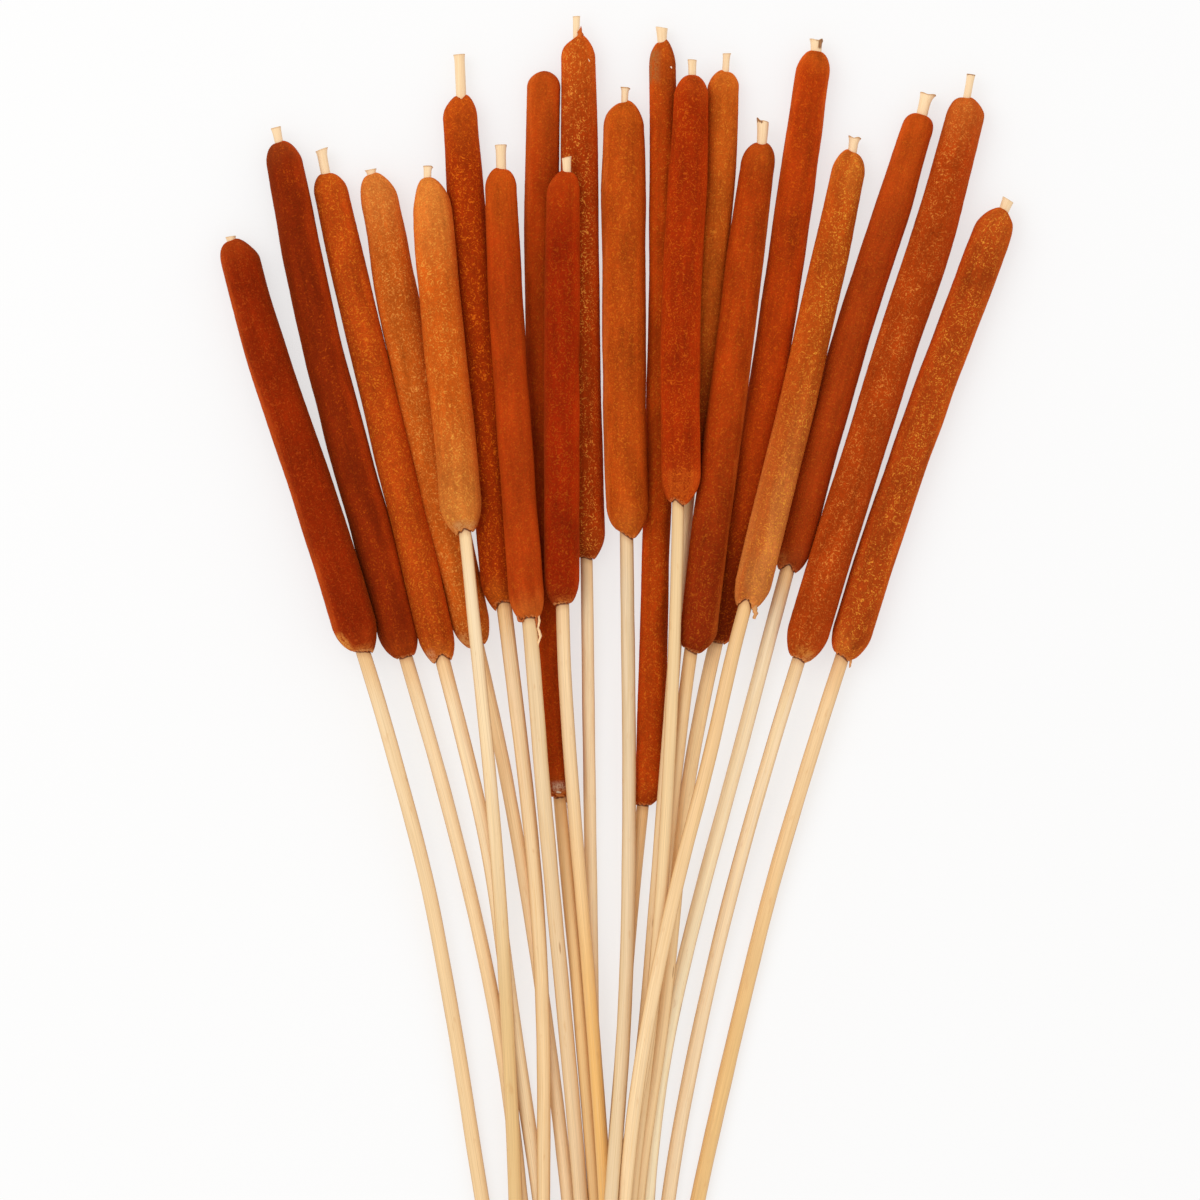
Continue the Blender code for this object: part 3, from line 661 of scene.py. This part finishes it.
def frill(name, start, bit):
    line = Line([start + np.array((right, -down, up)) for right, down, up in bit["line"]])
    widths = np.array(bit["widths"]) / 2
    uneven = waves(len(name) + len(bit["line"]) * 7, 6, (1, 3), (1.2, 5))
    bm = bmesh.new()
    bmesh.ops.create_grid(bm, x_segments=4, y_segments=24, size=1)
    for vert in bm.verts:
        across, share = vert.co.x, (vert.co.y + 1) / 2
        run = share * line.length
        _, left, up = line.directions(run)
        half = np.interp(share, np.linspace(0, 1, len(widths)), widths)
        half *= 1 + 0.22 * uneven(run, across)
        point = line.at(run) + left * across * half + up * bit["cup"] * half * (1 - across ** 2)
        vert.co = point * millimetre
    bmesh.ops.recalc_face_normals(bm, faces=bm.faces)
    bmesh.ops.solidify(bm, geom=bm.faces[:], thickness=frillThickness * millimetre)
    bmesh.ops.recalc_face_normals(bm, faces=bm.faces)
    mesh = bpy.data.meshes.new(name)
    bm.to_mesh(mesh)
    bm.free()
    mesh.shade_smooth()
    mesh.materials.append(frillMaterial(name, bit["colour"]))
    piece = addPiece(name, mesh)
    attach(piece, "root")


def frillMaterial(name, colour):
    sh = Shader(name)
    place = sh.node("TexCoord", None, None, "Object")
    streaks = sh.noise(place, 700, 2)
    body = sh.scaled(shade(*colour), 0.6 + streaks * 0.8)
    return sh.finish({"Base Color": body, "Roughness": 0.8, "Specular IOR Level": 0.1})


def bitOf(line, widths, colour, cup=0.5, end="foot"):
    return dict(line=line, widths=widths, colour=colour, cup=cup, end=end)


# What each cattail looks like, from left to right in the photo

# Angles go round a stem from its left over its top to its right, as the photo looks down on it.
# A rim's bumps are (angle, width in degrees, how far it reaches out in mm). A crease is (angle,
# width, depth in mm, where it starts and where it ends as shares of the length), and one with a
# depth below zero is a swelling. A band is (angle, width in degrees, colour, strength), and a scuff
# is (angle, how near to facing it from 1 to -1, start, end, colour, strength), in mm from the top or,
# below zero, back from the foot. A bit's line is (right, down, up) in mm from the head's end.

def tipOf(flare=(0.35, 0.35), reach=1.4, slant=0.0, bend=0.0, bendReach=3.0, rim=(), brown=0.35,
          scar=None):
    return dict(flare=flare, reach=reach, slant=slant, bend=bend, bendReach=bendReach, rim=rim,
                brown=brown, scar=scar)


def formOf(dome=1.15, domePower=1.8, taper=1.4, footPower=1.85, lip=0.35, ridge=0.04, crown=(),
           hem=(), creases=()):
    return dict(dome=dome, domePower=domePower, taper=taper, footPower=footPower, lip=lip,
                ridge=ridge, crown=crown, hem=hem, creases=creases)


def velvetOf(base, crown, foot, crownReach=14.0, footReach=14.0, bandsAndSideShading=(), flecks=0.15,
             fleck=(236, 142, 36), fleckSide=topSide, fleckSpread=-0.6, mottle=0.35, strokes=0.34,
             paintedRimShade=0.12, fringe=0.5, sides=(0.1, 0.2), scuffs=()):
    return dict(base=base, crown=crown, foot=foot, crownReach=crownReach, footReach=footReach,
                bandsAndSideShading=bandsAndSideShading, flecks=flecks, fleck=fleck, fleckSide=fleckSide,
                fleckSpread=fleckSpread, mottle=mottle, strokes=strokes, paintedRimShade=paintedRimShade,
                fringe=fringe, sides=sides, scuffs=scuffs)


def strawOf(pale=(239, 207, 162), mid=(235, 201, 154), low=(234, 198, 148), neck=(226, 174, 110),
            deep=(226, 186, 132), line=(184, 126, 62)):
    return dict(pale=pale, mid=mid, low=low, neck=neck, deep=deep, line=line)


cattails = {
    "01": dict(
        tip=tipOf((0.45, 0.25), 1.2, 0.3),
        form=formOf(crown=((180, 60, 0.5),), hem=((180, 70, 1.5), (0, 60, -1.0)),
                    creases=((180, 60, 0.9, -0.2, 0.3), (180, 60, -0.6, 0.4, 1.0))),
        velvet=velvetOf((134, 34, 2), (150, 50, 8), (148, 48, 8),
                        bandsAndSideShading=((leftSide, 50, (160, 58, 12), 0.8), (rightSide, 55, (104, 28, 3), 0.6)),
                        flecks=0.1, fleck=(198, 92, 26), strokes=0.2, fringe=0.9,
                        scuffs=((10, 0.6, -9, -1, (218, 144, 64), 0.9),
                                (90, -0.2, -2, 0, (206, 120, 50), 0.6))),
        straw=strawOf()),
    "02": dict(
        tip=tipOf((0.35, 0.1), 2.0, 0.2, brown=0.5),
        form=formOf(crown=((180, 70, 0.5),),
                    creases=((180, 60, 0.6, -0.2, 0.17), (180, 60, -0.7, 0.35, 1.02))),
        velvet=velvetOf((128, 36, 4), (134, 50, 14), (148, 54, 11),
                        bandsAndSideShading=((150, 35, (142, 44, 6), 0.5),), flecks=0.3, fleck=(212, 96, 16),
                        fleckSide=110, fleckSpread=0.3, mottle=0.2, strokes=0.1, paintedRimShade=0.2,
                        sides=(-0.2, 0.5)),
        straw=strawOf(mid=(240, 210, 167), low=(238, 201, 150))),
    "03": dict(
        wide=1.1, tip=tipOf((0.3, 0.75), 1.2, 0.9),
        form=formOf(crown=((0, 40, 0.4),), hem=((0, 40, 1.2), (180, 40, 1.0), (90, 35, -1.8)),
                    creases=((180, 60, -0.5, 0.03, 0.97),)),
        velvet=velvetOf((176, 66, 12), (180, 74, 15), (194, 94, 30), flecks=0.15, sides=(-0.1, 0.2),
                        scuffs=((20, 0.5, -4, 0, (222, 164, 116), 0.7),),
                        bandsAndSideShading=((leftSide, 45, (140, 50, 8), 0.5), (rightSide, 45, (146, 54, 12), 0.3))),
        straw=strawOf(pale=(242, 212, 168), mid=(240, 208, 166), low=(244, 214, 168))),
    "04": dict(
        tip=tipOf((0.9, 0.4), 1.0, 0.5),
        form=formOf(dome=1.5, crown=((180, 70, 0.5),), hem=((0, 45, 1.4), (180, 45, 0.8), (90, 35, -0.8)),
                    creases=((0, 60, -1.3, 0.08, 0.92),)),
        velvet=velvetOf((184, 84, 20), (200, 108, 42), (170, 80, 22), crownReach=40, sides=(0.2, 0.2),
                        scuffs=((20, 0.4, -5, 0, (218, 158, 92), 0.7),
                                (160, 0.4, -3, 0, (200, 124, 54), 0.6)),
                        flecks=0.4, fleck=(238, 162, 74), fringe=0.9),
        straw=strawOf(pale=(246, 212, 160), mid=(244, 206, 154), low=(242, 208, 162))),
    "05": dict(
        wide=1.1, tip=tipOf((0.15, 0.6), 0.8, rim=((180, 25, -0.8),), brown=0.8),
        form=formOf(dome=1.8, hem=((0, 32, 1.5), (90, 18, -0.7), (180, 40, 0.6), (60, 14, 0.5)),
                    lip=0.45),
        velvet=velvetOf((194, 86, 20), (216, 120, 46), (196, 110, 42), crownReach=50, footReach=60,
                        flecks=0.4, strokes=0.25,
                        scuffs=((90, -0.2, -3, 0, (206, 146, 88), 0.8),), fleck=(242, 176, 74),
                        fleckSide=60, fleckSpread=0.0, fringe=0.9,
                        bandsAndSideShading=((rightSide, 55, (164, 62, 14), 0.7),)),
        straw=strawOf(pale=(240, 210, 165), mid=(239, 212, 172), low=(222, 184, 126),
                      neck=(238, 200, 146))),
    "06": dict(
        wide=1.1, tip=tipOf((0.25, 0.1), 1.0, 0.2),
        form=formOf(dome=1.3, crown=((165, 35, 1.2), (10, 40, 0.9), (90, 18, -0.6)),
                    hem=((0, 35, 2.6), (90, 50, -0.8)),
                    creases=((0, 60, -0.9, -0.2, 0.42),)),
        velvet=velvetOf((155, 48, 4), (182, 72, 14), (164, 70, 14), crownReach=30,
                        flecks=0.6, fleck=(228, 112, 20)),
        straw=strawOf(pale=(242, 212, 166), mid=(239, 206, 162), neck=(232, 180, 108),
                      deep=(220, 172, 110))),
    "07": dict(
        tip=tipOf((0.2, 0.25), 1.5, 0.1, scar=(180, 30, 0.9)),
        form=formOf(crown=((10, 60, 0.8),), hem=((0, 40, 0.7), (180, 40, 0.5), (90, 40, -0.4))),
        velvet=velvetOf((168, 56, 9), (186, 74, 14), (180, 82, 26), crownReach=40, flecks=0.05,
                        mottle=0.2, strokes=0.1),
        bits=(bitOf(((3.3, -2.6, 1.7), (4.4, 1.3, 1.5), (4.0, 4.1, 1.4), (4.8, 6.9, 1.3), (4.2, 9.5, 1.2),
                     (3.7, 12.1, 1.1)), (0.5, 1.1, 0.9, 1.2, 0.9, 0.2), (246, 206, 156), 0.9),
              bitOf(((2.9, -2.2, 2.0), (3.3, 1.0, 1.9), (3.2, 4.0, 1.8)), (1.0, 1.1, 0.2), (172, 90, 44)),
              bitOf(((-4.2, -1.2, 2.0), (-3.6, 0.7, 1.8), (-2.4, 1.2, 1.9), (-1.5, 0.0, 2.5)),
                    (0.9, 1.3, 1.2, 0.4), (176, 92, 44), 0.9)),
        straw=strawOf(pale=(230, 200, 157), mid=(226, 194, 150), low=(228, 194, 150),
                      neck=(226, 184, 128))),
    "08": dict(
        tip=tipOf(), closed=True,
        form=formOf(dome=1.2, domePower=2.6, hem=((60, 25, 0.6), (120, 18, 0.5), (150, 25, -0.4)),
                    lip=0.5,
                    creases=((0, 60, -0.6, -0.2, 0.37),)),
        velvet=velvetOf((158, 52, 7), (172, 68, 14), (150, 60, 14), crownReach=50, flecks=0.05,
                        sides=(0.3, 0.3),
                        scuffs=((110, -0.3, -5.5, -2.5, (206, 176, 146), 0.75),
                                (150, 0.0, -3, 0, (206, 120, 50), 0.7)),
                        mottle=0.2, strokes=0.1, bandsAndSideShading=((leftSide, 50, (176, 84, 28), 0.4),)),
        bits=(bitOf(((-2.2, -3.6, 4.4), (-0.6, -2.8, 4.6), (1.2, -1.4, 4.4)), (1.2, 2.2, 0.8),
                    (206, 186, 158), 0.3),
              bitOf(((-2.2, -1.8, 4.0), (0.2, -0.6, 4.0), (2.6, -0.2, 3.8)), (0.7, 1.3, 0.6),
                    (196, 116, 58)),
              bitOf(((3.2, -0.8, 2.0), (4.0, 2.0, 1.4), (3.9, 4.8, 1.0)), (1.2, 1.3, 0.3),
                    (160, 96, 50))),
        straw=strawOf(pale=(250, 212, 158), mid=(244, 204, 148), low=(228, 184, 124),
                      deep=(222, 176, 118))),
    "09": dict(
        tip=tipOf((0.1, 0.25), 1.4, 0.8),
        form=formOf(dome=1.3, crown=((0, 50, 0.7),), hem=((10, 50, 0.9),)),
        velvet=velvetOf((142, 33, 2), (164, 52, 6), (132, 36, 5), crownReach=30, flecks=0.08, strokes=0.1,
                        sides=(0.1, 0.4), scuffs=((110, 0.0, -2.5, 0, (196, 104, 40), 0.7),),
                        bandsAndSideShading=((rightSide, 40, (150, 42, 5), 0.5),), fringe=0.8),
        straw=strawOf(pale=(236, 202, 154), mid=(238, 205, 160), low=(234, 180, 104),
                      neck=(230, 188, 136))),
    "10": dict(
        wide=1.08, tip=tipOf((0.0, 0.0), 1.4, 0.2),
        form=formOf(dome=1.2, crown=((165, 60, 1.5), (0, 50, -1.6)), hem=((150, 50, 0.9),)),
        velvet=velvetOf((158, 52, 6), (186, 76, 16), (148, 54, 10), crownReach=50,
                        flecks=0.8, fleck=(242, 154, 60), strokes=0.25, sides=(0.2, 0.3), fleckSide=75,
                        fleckSpread=0.1),
        bits=(bitOf(((0.5, 1.6, 1.6), (0.9, -1.6, 1.7), (1.2, -4.6, 1.4)), (4.0, 2.1, 0.1), (196, 92, 28),
                    0.7, end="top"),
              bitOf(((4.0, 9.1, 5.6), (4.6, 9.8, 5.3)), (0.5, 0.6), (250, 226, 200), end="top")),
        straw=strawOf(pale=(250, 222, 178), mid=(246, 214, 168), low=(246, 218, 176),
                      neck=(234, 190, 132))),
    "11": dict(
        wide=1.06, tip=tipOf((0.35, 0.7), 0.7, -0.2, rim=((180, 25, -0.6),), brown=0.9),
        form=formOf(dome=1.25, crown=((180, 60, 1.0),), hem=((0, 60, -2.0), (140, 50, 1.8)),
                    creases=((0, 60, -0.7, -0.2, 0.37), (55, 5, 0.10, 0.3, 0.95),
                             (118, 5, 0.12, 0.4, 0.97), (140, 4, 0.1, 0.2, 0.8))),
        velvet=velvetOf((176, 70, 13), (190, 82, 17), (182, 84, 23), flecks=0.03, strokes=0.26,
                        sides=(0.3, 0.4),
                        bandsAndSideShading=((leftSide, 48, (196, 100, 38), 0.7), (rightSide, 42, (138, 52, 9), 0.7))),
        straw=strawOf(pale=(230, 203, 165), mid=(225, 197, 156), low=(226, 196, 154),
                      neck=(234, 196, 146), deep=(214, 178, 126))),
    "12": dict(
        tip=tipOf((0.5, 0.6), 4.0, -0.9, brown=0.1),
        form=formOf(dome=1.9, domePower=1.7, crown=((165, 45, 1.4),),
                    creases=((0, 60, -0.6, -0.2, 0.22), (70, 5, 0.16, 0.04, 0.3),
                             (112, 5, 0.2, 0.1, 0.5))),
        velvet=velvetOf((172, 60, 8), (178, 72, 15), (156, 56, 10), crownReach=40,
                        scuffs=((20, 0.3, 3, 16, (150, 104, 56), 0.8),), flecks=0.25, strokes=0.15,
                        fleck=(238, 142, 40), sides=(0.4, -0.2)),
        bits=(bitOf(((3.0, 9.7, 4.9), (3.4, 10.4, 4.8)), (0.5, 0.5), (250, 226, 200), end="top"),),
        straw=strawOf(pale=(240, 204, 154), mid=(232, 194, 140), low=(232, 194, 142))),
    "13": dict(
        tip=tipOf((0.1, 0.1), 1.4, -0.3),
        form=formOf(dome=1.3, hem=((150, 50, 1.7), (0, 45, 0.4), (60, 22, -0.9))),
        velvet=velvetOf((154, 42, 3), (176, 62, 11), (162, 54, 8), footReach=24, flecks=0.2, strokes=0.26,
                        sides=(0.2, 0.4), scuffs=((90, 0.1, -12, -1, (216, 104, 28), 0.3),),
                        fleck=(228, 116, 26)),
        straw=strawOf(pale=(230, 197, 148), mid=(229, 194, 143), low=(234, 200, 152),
                      neck=(232, 190, 134))),
    "14": dict(
        tip=tipOf((0.1, 0.35), 1.0, 0.3),
        form=formOf(dome=1.25, domePower=2.1, crown=((0, 50, 0.8),),
                    creases=((180, 60, -0.6, -0.2, 0.27), (75, 5, 0.12, 0.15, 0.6),
                             (105, 4, 0.1, 0.1, 0.5))),
        velvet=velvetOf((186, 83, 19), (198, 96, 28), (138, 46, 8), footReach=90, flecks=0.2,
                        strokes=0.25, sides=(0.2, 0.3),
                        fleck=(234, 150, 48)),
        straw=strawOf()),
    "15": dict(
        tip=tipOf((0.35, 0.75), 9.0, -1.2, rim=((20, 40, 0.4), (70, 20, -0.8)),
                  scar=(60, 36, 1.3), bend=0.5, brown=0.7),
        form=formOf(dome=1.2, domePower=2.2, crown=((10, 40, 0.7), (180, 45, 1.2)),
                    hem=((0, 60, -1.6), (150, 50, 0.7)),
                    creases=((25, 5, 0.25, 0.0, 0.35), (150, 6, 0.16, 0.02, 0.3),
                             (85, 6, 0.1, 0.05, 0.4))),
        velvet=velvetOf((170, 58, 8), (176, 72, 15), (126, 36, 5), footReach=130, flecks=0.05,
                        strokes=0.15, sides=(0.1, -0.1),
                        bandsAndSideShading=((rightSide, 40, (192, 90, 28), 0.5), (leftSide, 35, (140, 44, 5), 0.6))),
        straw=strawOf(pale=(230, 192, 142), mid=(228, 188, 136), neck=(220, 170, 110))),
    "16": dict(
        wide=1.1, tip=tipOf((0.4, 0.4), 1.4, -0.5, rim=((100, 18, -1.0), (150, 16, 0.6), (190, 14, -0.8)),
                  scar=(150, 42, 3.8), brown=0.4),
        form=formOf(dome=1.3),
        velvet=velvetOf((166, 54, 7), (188, 76, 17), (112, 33, 4), footReach=90, flecks=0.05,
                        strokes=0.22, sides=(0.2, 0.3),
                        fleck=(234, 120, 22),
                        bandsAndSideShading=((leftSide, 42, (192, 80, 20), 0.5), (rightSide, 42, (186, 84, 24), 0.4))),
        straw=strawOf(pale=(252, 222, 170), mid=(250, 214, 160), low=(244, 208, 156),
                      neck=(244, 200, 144))),
    "17": dict(
        tip=tipOf((0.5, 0.9), 0.9, -0.4, rim=((20, 25, 0.3), (80, 22, -0.4), (135, 26, 0.4)), brown=0.8),
        form=formOf(dome=1.3, crown=((0, 60, 1.0),),
                    hem=((90, 38, -2.2), (180, 45, 1.6), (0, 35, 0.8))),
        velvet=velvetOf((180, 76, 16), (206, 104, 32), (204, 118, 54), crownReach=30, footReach=110,
                        flecks=0.6, sides=(0.2, -0.1),
                        fleck=(240, 162, 54), fleckSide=120, fleckSpread=0.6,
                        bandsAndSideShading=((60, 40, (164, 64, 12), 0.6),)),
        bits=(bitOf(((2.4, -1.0, 2.2), (2.7, 1.4, 1.6), (2.8, 3.6, 1.3), (2.3, 5.4, 1.2)),
                    (2.6, 2.2, 1.9, 1.0), (206, 146, 90)),),
        straw=strawOf(pale=(232, 191, 136), mid=(231, 190, 138), low=(240, 206, 159),
                      neck=(234, 184, 120), deep=(222, 178, 118))),
    "18": dict(
        wide=1.16, tip=tipOf((0.1, 1.5), 1.7, -0.3, rim=((150, 20, 0.4), (100, 18, -0.3)), brown=0.8),
        form=formOf(dome=1.0, domePower=2.4, hem=((0, 45, 1.0), (90, 30, -1.8), (180, 40, 1.0)),
                    creases=((180, 60, 0.6, -0.2, 0.27), (62, 5, 0.2, 0.03, 0.6),
                             (95, 5, 0.25, 0.02, 0.75), (140, 6, 0.25, 0.02, 0.5))),
        velvet=velvetOf((156, 54, 10), (180, 70, 14), (156, 64, 22), crownReach=60, flecks=0.03,
                        sides=(0.2, 0.5),
                        mottle=0.2, strokes=0.1, bandsAndSideShading=((150, 30, (124, 36, 6), 0.5),), paintedRimShade=0.2,
                        scuffs=((20, 0.3, -5, -1, (200, 130, 62), 0.6),)),
        straw=strawOf(pale=(250, 227, 188), mid=(248, 221, 176), low=(253, 234, 194),
                      neck=(250, 190, 104), deep=(238, 206, 156))),
    "19": dict(
        wide=1.09, tip=tipOf((0.1, 0.15), 1.4, 0.1, scar=(90, 60, 0.45)),
        form=formOf(dome=1.1, domePower=2.3, crown=((170, 50, 0.8),), hem=((150, 50, 1.2), (30, 40, 0.4)),
                    creases=((180, 60, -1.2, -0.2, 0.47), (0, 60, 0.9, -0.2, 0.37))),
        velvet=velvetOf((165, 59, 9), (188, 88, 28), (170, 66, 14), crownReach=30,
                        bandsAndSideShading=((leftSide, 50, (170, 64, 12), 0.6), (150, 40, (140, 44, 8), 0.4)),
                        flecks=0.45, strokes=0.22, fleck=(234, 146, 62), fleckSide=75, fleckSpread=0.45,
                        fringe=0.9,
                        scuffs=((100, 0.6, -4.5, -1, (214, 136, 56), 0.6),
                                (150, 0.5, -2.5, 0, (206, 138, 76), 0.7))),
        straw=strawOf(pale=(237, 206, 160), mid=(238, 208, 169), low=(240, 210, 168),
                      neck=(224, 180, 126))),
    "20": dict(
        wide=1.07, tip=tipOf((0.45, 0.5), 5.0, -0.9, brown=0.2),
        form=formOf(dome=1.5, crown=((20, 70, 0.5), (185, 40, -1.7)),
                    hem=((150, 45, 1.2), (0, 60, -0.6)),
                    creases=((180, 55, -1, -0.2, 0.27),)),
        velvet=velvetOf((164, 62, 13), (182, 78, 21), (184, 86, 26), crownReach=24, flecks=0.55,
                        strokes=0.24, sides=(0.3, 0.1),
                        fleck=(244, 162, 56), fleckSide=95, fleckSpread=0.45,
                        bandsAndSideShading=((rightSide, 55, (178, 72, 14), 0.9), (leftSide, 50, (166, 56, 8), 0.7))),
        bits=(bitOf(((3.0, 0.2, 2.9), (3.7, -1.3, 3.4), (4.3, -2.7, 3.8)), (0.9, 1.3, 0.7),
                    (250, 226, 196)),
              bitOf(((1.9, 0.4, 2.2), (2.3, 2.6, 1.7), (1.8, 4.4, 1.5)), (1.5, 1.2, 0.4),
                    (204, 140, 84))),
        straw=strawOf(pale=(235, 196, 146), mid=(237, 200, 150), low=(228, 184, 121),
                      neck=(222, 170, 112), deep=(224, 178, 120))),
}


for number, (name, facts) in enumerate(cattails.items()):
    seed = 100 * (number + 1)
    facts.setdefault("closed", False)
    facts.setdefault("wide", 1.04)
    stalk = Stalk(name)
    head = Head(name, facts, stalk, seed)
    head.finish = velvetMaterial(head)
    facts["tip"]["neck"] = head.stalkTop
    straw(name, stalk, head, facts, seed)
    velvet(head)
    nap(head)
    for count, bit in enumerate(facts.get("bits", ())):
        end = head.line.at(0 if bit["end"] == "top" else head.length)
        frill("frill%s_%d" % (name, count + 1), end, bit)
print("cattails made")


# The pale surface, the soft light and the camera

# It glows a little, so that the shadows stay as faint as a light table's
paleSurface = dict(reach=3.0, colour=(0.30, 0.30, 0.30), glow=(1, 0.995, 0.99), glowStrength=0.645)
softRoom = dict(colour=(1.0, 1.0, 1.0, 1), strength=0.9)
window = dict(size=2.2, power=27.0, place=(-1.3, 1.0, 2.4))
filmWidth = 36


def surroundings():
    bm = bmesh.new()
    bmesh.ops.create_grid(bm, x_segments=1, y_segments=1, size=paleSurface["reach"])
    mesh = bpy.data.meshes.new("paleFloor")
    bm.to_mesh(mesh)
    bm.free()
    floor = addPiece("paleFloor", mesh)
    sh = Shader("paleFloor")
    mesh.materials.append(sh.finish({"Base Color": paleSurface["colour"], "Roughness": 0.9,
                                     "Specular IOR Level": 0.0, "Emission Color": paleSurface["glow"],
                                     "Emission Strength": paleSurface["glowStrength"]}))
    world = bpy.data.worlds.new("softRoom")
    bpy.context.scene.world = world
    world.use_nodes = True
    background = world.node_tree.nodes["Background"]
    background.inputs["Color"].default_value = softRoom["colour"]
    background.inputs["Strength"].default_value = softRoom["strength"]
    light = bpy.data.lights.new("window", "AREA")
    light.shape, light.size, light.energy = "SQUARE", window["size"], window["power"]
    lamp = bpy.data.objects.new("window", light)
    bpy.context.scene.collection.objects.link(lamp)
    lamp.location = window["place"]
    lamp.rotation_mode = "QUATERNION"
    lamp.rotation_quaternion = lamp.location.to_track_quat("Z", "Y")
    camera = bpy.data.cameras.new("overhead")
    camera.sensor_width = filmWidth
    camera.lens = camera.sensor_width * cameraHeight / photoWidth
    camera.clip_end = 100
    view = bpy.data.objects.new("overhead", camera)
    bpy.context.scene.collection.objects.link(view)
    view.location = (photoCentre[0] * millimetre, photoCentre[1] * millimetre,
                     cameraHeight * millimetre)
    bpy.context.scene.camera = view
    bpy.context.scene.view_settings.view_transform = "Standard"


surroundings()
print("surroundings made")
